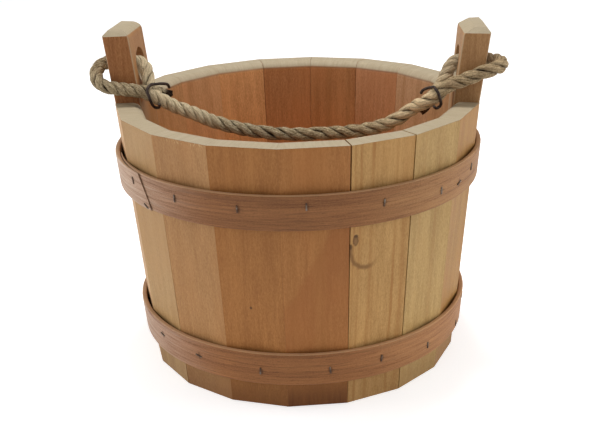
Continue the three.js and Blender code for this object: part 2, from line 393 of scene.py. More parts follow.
def stave_wood(name, turn, seed, middle, foot=FOOT_DARKENING, marks=(), edge=None):
    """Planed hardwood with its grain along the stave and pale end grain on its top."""
    material, start = new_finish(name)
    board = start.coords("Object").turned(-turn)
    own = board.vector_math("ADD", seed * 0.37, seed * 0.53, seed * 0.71)
    across = board.part(1)
    height = board.part(2)

    fibre = own.noise(1500, 1500, 34, 4.0, 0.65)
    streak = own.noise(430, 430, 7, 3.0, 0.6)
    band = own.noise(110, 110, 1.8)
    patch = own.noise(17, 17, 8, 3.0, 0.55)
    speck = own.noise(1100, 1100, 420, 2.0, 0.7)
    figure = (fibre - 0.5) * 1.3 + (streak - 0.5) * 1.1 + (band - 0.5) * 1.3
    figure = figure + (patch - 0.5) * 1.1 + (speck - 0.5) * 2.0
    light, dark, warm = tones(*middle)
    side = (figure + 0.5).blend(dark, light)
    side = (patch.between(0.42, 0.68) * 0.5).blend(side, warm)
    for mark in marks:
        side = mark(side, across, height, own)
    within = (board.part(0) - height * FLARE).until(*INNER_DEPTH)
    # Painted light on the inside, below the rim.
    side = (within * height.until(*INNER_FADE)).blend(side, INNER_PAINTED_LIGHT, "MULTIPLY")
    # Painted light on the outside, low between the hoops.
    low_outside = (1.0 - within) * height.between(*OUTER_RISE) * height.until(*OUTER_FADE)
    side = low_outside.blend(side, OUTER_PAINTED_LIGHT, "MULTIPLY")
    # Darker towards the foot, in streaks.
    foot_dark = height.until(*FOOT_DARK_FADE) * (0.35 + streak * 0.8 + band * 0.5) * foot
    side = foot_dark.blend(side, FOOT_DARK_TONE)
    facing = start.coords("Normal")
    if edge:
        square = facing.turned(-turn)
        sideways = abs(square.part(1))
        side = (sideways.between(0.75, 0.92) * 0.85).blend(side, (figure + 0.5).blend(*edge))
        upright = abs(square.part(2)).until(0.2, 0.5)
        arris = sideways.between(0.15, 0.5) * sideways.until(0.80, 0.96) * upright
        side = (arris * 0.45).blend(side, END_GRAIN_PALE)
    else:
        # Painted shade where a face tilts a little upwards, on the lower part of the rounding inside the
        # rim.
        painted_shade_round = tuple(value * 0.62 for value in middle)
        side = (facing.part(2).between(0.10, 0.40) * 0.7).blend(side, painted_shade_round)
    cut = facing.part(2).between(0.34, 0.54)
    pores = own.noise(1000, 1000, 1000, 2.0, 0.6)
    rings = own.noise(60, 480, 2)
    end = ((pores - 0.5) * 0.8 + (rings - 0.5) * 0.9 + 0.5).blend(END_GRAIN_DARK, END_GRAIN_PALE)
    base = cut.blend(side, end)
    close_finish(start, base, 0.50 + fibre * 0.2, fibre * 0.7 + streak * 0.5, 0.00016)
    return material


def oval(across, height, y, z, wide, tall, soft=0.6):
    """1 inside an oval on a stave's face, falling to 0 round its edge."""
    off_y = (across - y) / wide
    off_z = (height - z) / tall
    return (off_y * off_y + off_z * off_z).until(1.0 - soft, 1.0 + soft)


def torn_rim(side, across, height, own):
    """Small flecks that the plane tore out just under the rim."""
    zone = height.between(0.2160, 0.2185) * oval(across, height, 0.006, 0.219, 0.017, 0.010)
    fleck = own.noise(700, 700, 300, 2.0, 0.6).between(0.54, 0.62)
    return (zone * fleck * 0.55).blend(side, (206, 176, 126))


def knot(*ovals):
    """Dark wood: each oval has its place, half its width and height, softness, strength and colour."""
    def draw(side, across, height, own):
        for *shape, strength, tone in ovals:
            side = (oval(across, height, *shape) * strength).blend(side, tone)
        return side
    return draw


KNOT = (74, 48, 28)
pin_knot = knot((-0.0016, 0.0886, 0.0011, 0.0013, 0.6, 0.75, KNOT))
edge_knot = knot(
    (-0.0208, 0.1443, 0.0024, 0.0046, 0.3, 0.8, (98, 66, 36)),
    (-0.0206, 0.1432, 0.0013, 0.0026, 0.5, 0.5, (146, 108, 68)),
    (-0.0206, 0.1478, 0.0018, 0.0013, 0.6, 0.7, KNOT),
    (-0.0246, 0.1396, 0.0014, 0.0024, 0.7, 0.85, KNOT),
)


def curled_knot(side, across, height, own):
    """A small knot at the stave's edge, with a curl of dark grain that runs out below it."""
    wobble = (own.noise(300, 300, 300, 2.0, 0.6) - 0.5) * 0.0016
    y, z = across + wobble, height + wobble
    side = edge_knot(side, y, z, own)
    off_y, off_z = (y + 0.0108) / 0.0137, (z - 0.1362) / 0.0158
    ring = abs(y.math("SQRT", off_y * off_y + off_z * off_z) - 1.0)
    run_out = across.until(-0.012, 0.001) * height.until(0.1365, 0.1405)
    return (ring.until(0.02, 0.20) * run_out * 0.72).blend(side, (106, 70, 36))


def slant_figure(side, across, height, own):
    """Redder wood on one side of a growth line that runs out slantwise."""
    wander = (own.noise(60, 60, 40, 3.0, 0.6) - 0.5) * 0.016
    beside = (across - 0.0107) * 0.868 - (height - 0.1533) * 0.497 + wander
    share = beside.between(-0.003, 0.004) * (1.0 - beside.between(0.012, 0.045) * 0.5)
    return (share * 0.5).blend(side, (150, 90, 46))


def grain_lines(*lines):
    """Bands of darker growth: each has its place across the stave, half its width and its strength."""
    def draw(side, across, height, own):
        wander = (own.noise(14, 14, 9) - 0.5) * 0.006
        ragged = (own.noise(900, 900, 14, 2.0, 0.6) - 0.5) * 0.0016
        fade = 0.35 + own.noise(40, 40, 7).between(0.35, 0.65) * 0.65
        for place, reach, strength in lines:
            off = abs(across + wander + ragged - place)
            side = (off.until(reach * 0.2, reach * 1.7) * fade * strength).blend(side, STRIPE)
        return side
    return draw


STRIPE = (150, 100, 50)
# The middle colour of each stave, by its place in the ring: its own tone, with some painted light.
STAVE_TONES_AND_PAINTED_LIGHT = {
    1: (176, 132, 90), 2: (190, 145, 104), 3: (186, 129, 86), 4: (184, 124, 75), 5: (185, 123, 74),
    6: (210, 149, 94), 7: (194, 140, 92), 8: (184, 132, 84),
    10: (172, 134, 90), 11: (159, 125, 80), 12: (163, 120, 75), 13: (161, 108, 58), 14: (166, 112, 62),
    15: (177, 137, 84), 16: (172, 140, 88), 17: (158, 118, 64),
}
# How dark the foot of a stave is, and the marks in its wood.
STAVE_MARKS = {
    2: (FOOT_DARKENING, grain_lines((-0.008, 0.003, 0.3), (0.012, 0.002, 0.3))),
    4: (FOOT_DARKENING, grain_lines((-0.015, 0.002, 0.3), (0.004, 0.003, 0.35), (0.016, 0.002, 0.25))),
    7: (FOOT_DARKENING, grain_lines((-0.004, 0.003, 0.3), (0.015, 0.002, 0.3))),
    11: (0.15,),
    12: (0.4, torn_rim),
    13: (0.5, pin_knot),
    14: (0.75, slant_figure, grain_lines((-0.018, 0.004, 0.2), (0.002, 0.005, 0.25))),
    15: (0.1, grain_lines(
        (-0.0228, 0.0007, 0.5), (-0.0178, 0.0010, 0.6), (-0.0083, 0.0015, 0.95),
        (-0.0050, 0.0008, 0.4), (0.0112, 0.0011, 0.6), (0.0190, 0.0022, 0.4),
    ), curled_knot),
    16: (FOOT_DARKENING, grain_lines((-0.013, 0.0012, 0.25), (0.006, 0.002, 0.2))),
    17: (FOOT_DARKENING, grain_lines((-0.016, 0.003, 0.3), (0.001, 0.0014, 0.25))),
}


plain_blank = stave_blank("stave_blank", BODY_HEIGHT)
plain_places = [place for place in range(STAVE_COUNT) if place % (STAVE_COUNT // 2)]
for number, place in enumerate(plain_places, start=1):
    stave = copy_of(plain_blank, f"plain_stave_{number:02d}")
    joint_stave(stave, (WORN_JOINTS.get(place - 1), WORN_JOINTS.get(place)))
    turn_to(stave, PITCH * place)
    set_shading(stave)
    foot, *marks = STAVE_MARKS.get(place, (FOOT_DARKENING,))
    name = f"stave_wood_{number:02d}"
    wood = stave_wood(name, PITCH * place, place, STAVE_TONES_AND_PAINTED_LIGHT[place], foot, marks)
    fit_piece(stave, wood, "stave_wood", f"stave_{number:02d}")
bpy.data.objects.remove(plain_blank)


# ---- Ear staves ----
# Two staves opposite each other are left 60 mm longer than the rest and stand up as ears.
# A 28 mm hole is bored through each for the rope, and the edges that a hand or the rope can
# reach are eased with a knife and sandpaper.
EAR_TOP = 0.280
EAR_HOLE_RADIUS = 0.014
EAR_HOLE_HEIGHT = 0.2475
HOLE_REACH = outer_face(EAR_HOLE_HEIGHT) - STAVE_THICKNESS / 2
EAR_SIDE_CHAMFER = 0.0045
EAR_OUTER_CHAMFER = 0.0040
EAR_EDGE_ROUND = 0.0014
EAR_TOP_EASE = 0.0006
EAR_WIDE_CUT = 2e-5  # square metres: slant cuts larger than this are shaded flat
EAR_FOOT = 0.0005  # above the rim, where the rounding of the upright edges ends
EAR_TOP_ZONE = 0.009  # the cuts at an ear's top lie within this
HOLE_EDGE_ROUND = 0.0011
ON_FACE = 1e-4
BIT_SIDES = 56
BIT_LENGTH = 0.08
SHARP_ANGLE = radians(22)
SLIVER = 1e-5
EAR_LEAN = 0.0016
PARED_DROP = 0.0050  # the flat pared on the right ear's inner top edge: down, and across the top
PARED_REACH = 0.0083
EAR_SEED = 31


def on_hole_edge(co):
    from_axis = hypot(co.y, co.z - EAR_HOLE_HEIGHT)
    depth = outer_face(co.z) - co.x
    on_face = abs(depth) < ON_FACE or abs(depth - STAVE_THICKNESS) < ON_FACE
    return on_face and abs(from_axis - EAR_HOLE_RADIUS) < 2 * ON_FACE


def sharp_above(height):
    """A test for sharp edges that lie wholly above a height."""
    above = both_ends(lambda co: co.z > height)
    return lambda edge: above(edge) and edge.calc_face_angle(0) > SHARP_ANGLE


def ear_board(name, pared):
    """An ear stave on +X: jointed, chamfered round its top, bored, and eased by hand."""
    board = stave_blank(name, EAR_TOP, eased_top=False)
    joint_stave(board, (None, None), eased=False)
    edit(board)
    score((0, 0, BODY_HEIGHT + EAR_FOOT), (0, 0, 1))
    ease(sharp_above(BODY_HEIGHT), EAR_EDGE_ROUND, 3)
    for side in (-1, 1):
        saw((0, 0, EAR_TOP - EAR_SIDE_CHAMFER), joint_normal(side) + Vector((0, 0, 1)))
    low_cut = EAR_TOP - EAR_OUTER_CHAMFER
    saw((outer_face(low_cut), 0, low_cut), (1, 0, 1))
    if pared:
        flat_end = inner_face(EAR_TOP) + PARED_REACH
        saw((flat_end, 0, EAR_TOP), (-PARED_DROP, 0, flat_end - inner_face(EAR_TOP - PARED_DROP)))
    close_edit()

    select_none()
    bpy.ops.mesh.primitive_cylinder_add(
        vertices=BIT_SIDES, radius=EAR_HOLE_RADIUS, depth=BIT_LENGTH,
        location=(HOLE_REACH, 0, EAR_HOLE_HEIGHT), rotation=(0, pi / 2, 0),
    )
    bit = bpy.context.object
    only(board)
    bore = board.modifiers.new("bore", "BOOLEAN")
    bore.operation = "DIFFERENCE"
    bore.solver = "EXACT"
    bore.object = bit
    bpy.ops.object.modifier_apply(modifier="bore")
    bpy.data.objects.remove(bit)
    edit(board)
    ease(both_ends(on_hole_edge), HOLE_EDGE_ROUND, 3)
    ease(sharp_above(EAR_TOP - EAR_TOP_ZONE), EAR_TOP_EASE)
    bpy.ops.mesh.select_all(action="SELECT")
    bpy.ops.mesh.dissolve_degenerate(threshold=SLIVER)
    close_edit()
    return board


def spring_ear(ear, out, twist):
    """Lets an ear on +X lean out and turn a little above the rim, as a dried board does."""
    centre = Vector((HOLE_REACH, 0, 0))
    for vertex in ear.data.vertices:
        share = max(vertex.co.z - BODY_HEIGHT, 0.0) / (EAR_TOP - BODY_HEIGHT)
        turned = Matrix.Rotation(radians(twist) * share, 3, "Z") @ (vertex.co - centre)
        vertex.co = centre + turned + Vector((out * share, 0, 0))


# Each ear: its place in the ring, its middle colour, the colours of its edges, and its twist.
EARS = (
    ("right_ear_stave", 0, (172, 132, 90), ((146, 106, 66), (174, 132, 88)), 3.0),
    ("left_ear_stave", 9, (162, 118, 74), ((132, 80, 42), (168, 112, 66)), 0.0),
)
for node, place, middle, flanks, twist in EARS:
    ear = ear_board(node.replace("_stave", ""), pared=place == 0)
    spring_ear(ear, EAR_LEAN, twist)
    turn_to(ear, PITCH * place)
    set_shading(ear, EAR_WIDE_CUT)
    name = node.replace("stave", "wood")
    wood = stave_wood(name, PITCH * place, EAR_SEED + place, middle, edge=flanks)
    fit_piece(ear, wood, "stave_wood", node)


# ---- Bottom ----
# Three boards, edge to edge, sawn to a round and bevelled on both faces to a tongue.
# The tongue sits in the staves' croze, with no glue or nails.
TONGUE_RADIUS = 0.12055
TONGUE_THICKNESS = 0.0094
TONGUE_WIDTH = 0.007
BOTTOM_HEIGHT = 0.023  # the middle of the boards
BOTTOM_BEVEL = 0.008
BOTTOM_RAISE = 0.0033  # from the tongue's face to the board's full face
BOTTOM_SIDES = 144
BOARD_JOINT = 0.04018
BOARD_GAP = 0.00015  # half of the gap in a joint
BOARD_EASE = 0.0005

select_none()
bpy.ops.mesh.primitive_cylinder_add(
    vertices=BOTTOM_SIDES, radius=TONGUE_RADIUS, depth=TONGUE_THICKNESS, location=(0, 0, BOTTOM_HEIGHT)
)
bottom_round = bpy.context.object
settle()
edit(bottom_round)
for way in (-1, 1):
    pick("faces", lambda face: face.normal.z * way > FACING)
    bpy.ops.mesh.inset(thickness=TONGUE_WIDTH, depth=0)
    bpy.ops.mesh.inset(thickness=BOTTOM_BEVEL, depth=BOTTOM_RAISE)
close_edit()

BOARD_TONES = ((158, 110, 72), (152, 104, 66), (164, 116, 78))
for board in range(3):
    plank = copy_of(bottom_round, f"bottom_plank_{board + 1}")
    edit(plank)
    for side in (-1, 1):
        cut = (board - 1) * 2 * BOARD_JOINT + side * (BOARD_JOINT - BOARD_GAP)
        if abs(cut) < 2 * BOARD_JOINT:
            saw((0, cut, 0), (0, side, 0))
            ease(both_ends(lambda co: abs(co.y - cut) < ON_PLANE), BOARD_EASE)
    close_edit()
    set_shading(plank)
    material, start = new_finish(f"bottom_wood_{board + 1}")
    own = start.coords("Object").vector_math("ADD", board * 0.4, board * 0.9, 0)
    fibre = own.noise(22, 1100, 1100, 3.0, 0.6)
    streak = own.noise(3, 170, 170, 3.0, 0.55)
    patch = own.noise(9, 22, 22, 3.0, 0.55)
    light, dark, warm = tones(*BOARD_TONES[board])
    base = ((fibre - 0.5) * 0.6 + (streak - 0.5) * 1.3 + 0.5).blend(dark, light)
    base = (patch.between(0.42, 0.7) * 0.6).blend(base, warm)
    close_finish(start, base, 0.5 + fibre * 0.22, fibre * 0.6 + streak * 0.6, 0.00018)
    fit_piece(plank, material, "bottom_wood", f"bottom_board_{board + 1}")
bpy.data.objects.remove(bottom_round)


# ---- Hoops ----
# Each hoop is one flat strip of hardwood, planed thin, steamed and bent round the staves.
# Its two ends are thinned so that they lap; the outer end is cut on a slant.
# A strip is shaped flat first, and then rolled to the cone of the bucket.
HOOP_WIDTH = 0.028
HOOP_THICKNESS = 0.004
HOOP_TIP = 0.0007
HOOP_SEAT_GAP = 0.0003
HOOP_LAP = 25.0
HOOP_TURN = 360.0 + HOOP_LAP
HOOP_SLANT = 0.013
HOOP_EDGE = 0.0011
# The dark and light colours of each hoop, and its paler colours at the left and right: painted sheen.
HOOP_TONES = {
    "upper_hoop": ((108, 67, 38), (161, 109, 67), (196, 174, 154), (186, 146, 96)),
    "lower_hoop": ((114, 70, 40), (175, 118, 71), (194, 176, 160), (200, 152, 104)),
}
HOOP_EDGE_PAINTED_LIGHT = (214, 174, 132)
STAPLE_BRUISES_AND_SHADOWS = ((0.0021, 0.0048, 0.50), (0.0050, 0.0007, 0.40))  # bruise and painted shadow: half width, half height, strength
STRIP_SCALE = 0.002  # length of flat strip for each degree of its turn
STRIP_STEPS = 231


def outer_corner(height):
    return outer_face(height) / cos(PITCH / 2)


def clamped(value):
    return min(max(value, 0.0), 1.0)


def hoop_faces(base, angle):
    """The strip's inner and outer radius at its base, at an angle along its turn in degrees."""
    seat = outer_corner(base) + HOOP_SEAT_GAP
    start_share = clamped(angle / HOOP_LAP)
    end_share = clamped((angle - 360) / HOOP_LAP)
    lift_share = clamped((angle - 360 + HOOP_LAP) / HOOP_LAP)
    tip_lift = (HOOP_TIP + HOOP_SEAT_GAP) * lift_share
    inner = seat + tip_lift + (HOOP_THICKNESS - HOOP_TIP) * end_share
    thinned = HOOP_TIP + (HOOP_THICKNESS - HOOP_TIP) * start_share
    outer = seat + (HOOP_THICKNESS + tip_lift if lift_share > 0 else thinned)
    return inner, outer, end_share


def roll_strip(strip, base, end_angle):
    """Wraps a flat strip, laid along X with its back at Y 0, round the bucket's cone."""
    mesh = strip.data
    grain = mesh.uv_layers.new(name="grain")
    along = {}
    seat = outer_corner(base)
    flare = outer_corner(base + HOOP_WIDTH) - seat
    for vertex in mesh.vertices:
        angle = vertex.co.x / STRIP_SCALE
        rise = vertex.co.z / HOOP_WIDTH
        along[vertex.index] = (radians(angle) * seat, vertex.co.z + vertex.co.y * 0.5)
        inner, outer, end_share = hoop_faces(base, angle)
        radius = inner + (outer - inner) * (vertex.co.y / HOOP_THICKNESS) + flare * rise
        lean = end_share * HOOP_SLANT * (0.5 - rise) / seat
        turned = radians(end_angle - HOOP_LAP + angle) + lean
        vertex.co = (radius * cos(turned), radius * sin(turned), base + vertex.co.z)
    for loop in mesh.loops:
        grain.data[loop.index].uv = along[loop.vertex_index]


# Each staple: degrees from +X, rise above the hoop's lower edge, and tilt of its crown in degrees.
UPPER_STAPLES = [
    (218.8, 0.0195, 4), (224.8, 0.0024, 62), (238.2, 0.0171, -3), (258.5, 0.0167, 2), (277.5, 0.0195, 0),
    (299.4, 0.0163, -2), (320.4, 0.0129, 4), (329.9, 0.0121, -70), (338.6, 0.0183, -5),
]
LOWER_STAPLES = [
    (220.7, 0.0168, 84), (239.5, 0.0143, 80), (261.8, 0.0121, -4), (283.8, 0.0130, 8),
    (300.9, 0.0155, -4), (320.8, 0.0101, 5), (342.8, 0.0057, 8),
]
# Round the back, where they aren't seen, the rest follow at an even step, give or take.
UNSEEN_STAPLES = 11
STAPLE_STEP = 19.2
STAPLE_STRAY = 2
STAPLE_RISE = (0.011, 0.018)
STAPLE_TILT = 12
driven_by_hand = random.Random(7)
for step in range(UNSEEN_STAPLES):
    for places in (UPPER_STAPLES, LOWER_STAPLES):
        angle = STAPLE_STEP * step + driven_by_hand.uniform(-STAPLE_STRAY, STAPLE_STRAY)
        rise = driven_by_hand.uniform(*STAPLE_RISE)
        places.append((angle, rise, driven_by_hand.uniform(-STAPLE_TILT, STAPLE_TILT)))
# Each hoop: its lower edge, the angle of its lap's outer end, and its staples.
HOOPS = (
    ("upper_hoop", 0.1575, 225.0, UPPER_STAPLES),
    ("lower_hoop", 0.0235, 60.0, LOWER_STAPLES),
)


def along_turn(angle, end_angle):
    """How far along a hoop's turn the outer layer lies at an angle from +X, in degrees."""
    turn = (angle - end_angle + HOOP_LAP) % 360
    return turn + 360 if turn < HOOP_LAP else turn


def hoop_wood(name, base, end_angle, places, seed, dark, light, left, right):
    """Thin bent hardwood, darker than the staves, with long dark streaks and bruises at the staples.
    It takes painted sheen towards both sides, painted light on its upper edge, and a painted shadow
    beside each staple.
    """
    material, start = new_finish(name)
    run = start.node("UVMap", {"uv_map": "grain"})
    own = run.vector_math("ADD", seed, seed * 0.3, 0)
    fibre = own.noise(34, 1000, 1, 4.0, 0.7, 0.3)
    streak = own.noise(13, 400, 1, 3.0, 0.6, 0.5)
    band = own.noise(3, 150, 1)
    fleck = own.noise(120, 1100, 1, 2.0, 0.6)
    speck = own.noise(700, 1200, 1, 2.0, 0.7)
    figure = (fibre - 0.5) * 1.2 + (streak - 0.5) * 1.4 + (band - 0.5) * 0.8 + (speck - 0.5) * 0.9
    wood = (figure + 0.5).blend(dark, light)
    wood = (streak.between(0.54, 0.66) * 0.5).blend(wood, (92, 56, 34))
    wood = (fleck.between(0.60, 0.70) * 0.45).blend(wood, (80, 50, 30))
    sideways = start.coords("Object").part(0)
    # Painted sheen: the hoop grows paler towards its left and its right.
    wear_and_sheen = 0.25 + figure * 0.5
    wood = (sideways.until(-0.150, -0.045) * wear_and_sheen * 2.0).blend(wood, left)
    wood = (sideways.between(0.040, 0.120) * wear_and_sheen * 1.1).blend(wood, right)
    # Painted light on the hoop's upper edge, where it faces up.
    painted_light_edge = start.coords("Normal").part(2).between(0.3, 0.8)
    wood = (painted_light_edge * 0.5).blend(wood, HOOP_EDGE_PAINTED_LIGHT)
    ragged = (fleck - 0.5) * 0.9
    seat = outer_corner(base)
    for angle, rise, _ in places:
        along = radians(along_turn(angle, end_angle)) * seat
        up = rise + HOOP_THICKNESS / 2
        for wide, tall, depth in STAPLE_BRUISES_AND_SHADOWS:
            scaled = run.vector_math("MULTIPLY", 1 / wide, 1 / tall, 0)
            # Each mark sits a little along the hoop from its staple: part bruise, part the staple's
            # painted shadow.
            off = scaled.vector_math("DISTANCE", along / wide + 0.25, up / tall, 0, "Value")
            wood = ((off + ragged).until(0.35, 1.0) * depth).blend(wood, (62, 38, 22))
    close_finish(start, wood, 0.52 + fibre * 0.2, fibre * 0.8 + streak * 0.5, 0.0002)
    return material


for name, base, end_angle, places in HOOPS:
    strip = add_block(name + "_strip", (0, 0, 0), (HOOP_TURN * STRIP_SCALE, HOOP_THICKNESS, HOOP_WIDTH))

    def runs_long(edge):
        return abs(edge.verts[0].co.x - edge.verts[1].co.x) > HOOP_WIDTH

    ease(runs_long, HOOP_EDGE, 3)
    pick("edges", runs_long)
    bpy.ops.mesh.subdivide(number_cuts=STRIP_STEPS)
    close_edit()
    roll_strip(strip, base, end_angle)
    edit(strip)
    bpy.ops.mesh.select_all(action="SELECT")
    bpy.ops.mesh.normals_make_consistent(inside=False)
    close_edit()
    set_shading(strip)
    wood = hoop_wood(name + "_wood", base, end_angle, places, base * 40, *HOOP_TONES[name])
    fit_piece(strip, wood, "hoop_wood", name)


# ---- Staples ----
# A narrow wire staple fixes each hoop to each stave, its crown upright and its legs in the wood.
# They are driven by hand, so no two stand quite alike.
CROWN = 0.0060
STAPLE_WIRE = 0.0011
STAPLE_LEG = 0.0065
STAPLE_PROUD = 0.0002
STAPLE_EASE = 0.0003

half = STAPLE_WIRE / 2
bend = CROWN / 2 - STAPLE_WIRE
staple = add_block("staple", (-half, -half, -CROWN / 2), (half, half, CROWN / 2))
for end in (-1, 1):
    score((0, 0, end * bend), (0, 0, 1))
pick("faces", lambda face: face.normal.x < -FACING and abs(face.calc_center_median().z) > bend)
draw_out(-STAPLE_LEG, 0, 0)
on_crown = both_ends(lambda co: co.x > -half - NEAR)
ease(lambda edge: edge.calc_face_angle(0) > SHARP_ANGLE and on_crown(edge), STAPLE_EASE)
close_edit()


def iron(name, bright, dull, rusty):
    """Plain wire, dulled and rusted in specks."""
    material, start = new_finish(name)
    spot = start.coords("Object")
    rust = spot.noise(700, 700, 700, 3.0, 0.6)
    mottle = spot.noise(260, 260, 260)
    base = rust.between(0.40, 0.65).blend(dull, rusty)
    base = mottle.between(0.45, 0.65).blend(base, bright)
    close_finish(start, base, 0.42 + rust * 0.3, rust, 0.00015, 0.4, 0.5)
    return material


staple_finish = iron("staple_iron", (126, 112, 98), (70, 54, 42), (92, 62, 40))
for name, base, end_angle, places in HOOPS:
    row = []
    for angle, rise, tilt in places:
        flare = (outer_corner(base + HOOP_WIDTH) - outer_corner(base)) * rise / HOOP_WIDTH
        radius = hoop_faces(base, along_turn(angle, end_angle))[1] + flare + STAPLE_PROUD
        driven = copy_of(staple, f"{name}_staple")
        upright = Matrix.Rotation(radians(tilt), 4, "X")
        lean = Matrix.Rotation(atan(FLARE), 4, "Y")
        place = Matrix.Translation((radius, 0, base + rise))
        driven.data.transform(Matrix.Rotation(radians(angle), 4, "Z") @ place @ lean @ upright)
        row.append(driven)
    only(row[0])
    for driven in row[1:]:
        driven.select_set(True)
    bpy.ops.object.join()
    row[0].name = f"{name}_staples"
    set_shading(row[0])
    fit_piece(row[0], staple_finish, "dark_wire")
bpy.data.objects.remove(staple)


# ---- Rope handle ----
# One length of three-strand natural-fibre rope, 11 mm thick, laid right-handed, cut at both tails.
# At each ear it passes in front, round the outer side and back in through the hole. It is made as
# two halves that meet in mid-span.
ROPE_DIAMETER = 0.011
STRAND_RADIUS = 0.00275
STRAND_FLAT = 1.17  # the strands press each other flat: their width over their thickness
STRAND_REACH = 0.0030  # from the rope's centre to a strand's centre
STRAND_WANDER = 0.016  # how far a strand strays from its even place, in turns
WANDER_WAVES = ((1.0, 0.0037, 2.1), (0.7, 0.0017, 1.3))  # in waves: share, length, and lag of a strand
STRAND_FULL = 0.985  # its usual thickness, and how far its yarns and its lumps change it
YARN_RELIEF = 0.035
STRAND_LUMP = 0.022
LUMPS = 9
LUMP_LENGTH = (0.006, 0.016)
ROUND = 6.3  # a full turn, near enough for the lumps
LAY_MIDDLE = 0.044  # one turn of a strand in the middle of the span
LAY_LEFT = 0.026  # and at the two loops, where the rope is twisted up
LAY_RIGHT = 0.035
LAY_RIGHT_TAIL = 0.021
LAY_FROM = 0.030  # from the middle, where the lay starts to tighten, and over how far it does
LAY_OVER = 0.035
LAY_WAVES = ((0.16, 0.0059), (0.12, 0.0026))  # how uneven it is, in waves: share and length
YARN_TURN = 0.030
YARNS = 7
STRAND_SIDES = 28
STRAND_SMOOTH = radians(50)
TAIL_TAPER = 0.012  # the last of each tail, where the strands are worn thin, and where its cut end takes painted shade
TAIL_WORN = 0.5
TAIL_END_SHADE = 0.006
TAIL_RAGGED = 0.0007
TAIL_BULGE = 0.0006
# A cap's middle counts as deep between the strands, so a cut end takes the grooves' painted shade too.
END_CROWN = 0.55
CORD_STRIDE = 4  # every so many points of the path are kept in a coarser copy of it
STRAY_FIBRES = 130  # thin hairs that stand off each half
STRAY_RINGS = 7
STRAY_STRIDE = 2  # points of the path between two of its rings
STRAY_SIDES = 3
STRAY_RADIUS = 0.00010
STRAY_THINS = 0.6
STRAY_SPREAD = 1.2  # how far round its strand one starts
STRAY_LIFT = (0.0006, 0.0022)
STRAY_CLEAR = 4  # points of the path left free at each end
ROUTE_STEP = 0.0008  # between two points of a finished route
ROUTE_SHARES = 24  # steps between two of its given points, before they are evened out
# The loops' points from the throat to the tail: millimetres outwards, along Y and up from the hole.
LEFT_LOOP = (
    (-43.5, -25, -31.3), (-34.5, -28, -25.5), (-25.5, -30.5, -20), (-17.5, -31, -16.5),
    (-6.5, -31.2, -15), (8.5, -33, -12.5), (17, -30.5, -10.5), (23, -23.5, -6), (23.5, -14.5, -0.5),
    (18, -7.5, 3), (8.5, -4.5, 3.8), (-2, -3, 3.8), (-10.5, -4.2, 1.5), (-16.3, -8.5, -4),
    (-18, -13.5, -10.5), (-21.8, -17.2, -17), (-29, -17.5, -21), (-38, -17, -21.8),
)
RIGHT_LOOP = (
    (-43.5, -25, -31.3), (-34.8, -28.9, -26.2), (-26, -31.7, -20), (-17.5, -31.3, -12.6),
    (-4.5, -31.7, -7.4), (8.5, -33.8, -1.4), (18, -31.4, 1.1), (23.9, -24.2, 2.4), (23.8, -14.8, 3.4),
    (17.2, -7.6, 3.2), (6.5, -3.5, 3.5), (-4, -3, 3), (-12, -4.8, 0.3), (-17.2, -10, -6),
    (-21, -15.3, -13.8), (-26.3, -18.2, -21.2), (-32, -17.2, -29.2), (-37.6, -16.8, -38),
)
# The span's points: the share of the way from the middle to a throat, and the drop in millimetres.
LEFT_SPAN = ((0.87, 4.6), (0.7, 11.8), (0.5, 17.4), (0.25, 21.7))
RIGHT_SPAN = ((0.87, 9.4), (0.7, 16.7), (0.5, 20.3), (0.25, 22.3))
SPAN_DROP = 23.1


def from_hole(points, side):
    """Such points at the left ear (side -1) or the right one (1), as places in metres."""
    return [
        Vector((side * (HOLE_REACH + out / 1000), along / 1000, EAR_HOLE_HEIGHT + up / 1000))
        for out, along, up in points
    ]


def mixed(a, b, low, high, at):
    """The point that lies between two others as a value lies between low and high."""
    return a * ((high - at) / (high - low)) + b * ((at - low) / (high - low))


def smooth_route(points):
    """Evenly spaced points on the smooth curve through a route's points, and its length."""
    ends = [points[0] * 2 - points[1], *points, points[-1] * 2 - points[-2]]
    fine = []
    for four in zip(ends, ends[1:], ends[2:], ends[3:]):
        knots = [0.0]
        for a, b in zip(four, four[1:]):
            knots.append(knots[-1] + sqrt((b - a).length))
        for share in range(ROUTE_SHARES):
            at = knots[1] + (knots[2] - knots[1]) * share / ROUTE_SHARES
            level = four
            for reach in (1, 2):
                pairs = zip(level, level[1:], knots, knots[reach:])
                level = [mixed(*pair, at) for pair in pairs]
            fine.append(mixed(*level, knots[1], knots[2], at))
    fine.append(points[-1].copy())
    lengths = [0.0]
    for a, b in zip(fine, fine[1:]):
        lengths.append(lengths[-1] + (b - a).length)
    count = round(lengths[-1] / ROUTE_STEP)
    even, at = [], 0
    for i in range(count + 1):
        want = lengths[-1] * i / count
        while at < len(fine) - 2 and lengths[at + 1] < want:
            at += 1
        share = (want - lengths[at]) / (lengths[at + 1] - lengths[at])
        even.append(fine[at].lerp(fine[at + 1], share))
    return even, lengths[-1]


def ahead_at(points, i):
    """The direction of a row of points at one of them."""
    return (points[min(i + 1, len(points) - 1)] - points[max(i - 1, 0)]).normalized()


def carried_frames(path):
    """At each point of a path, its direction and two square directions carried along without twist."""
    side = ahead_at(path, 0).orthogonal().normalized()
    frames = []
    for i in range(len(path)):
        ahead = ahead_at(path, i)
        side = (side - ahead * side.dot(ahead)).normalized()
        frames.append((ahead, side, ahead.cross(side)))
    return frames


left_loop = from_hole(LEFT_LOOP, -1)
right_loop = from_hole(RIGHT_LOOP, 1)
throat = right_loop[0]


def hang(share, drop):
    return Vector((throat.x * share, throat.y, throat.z - drop / 1000))


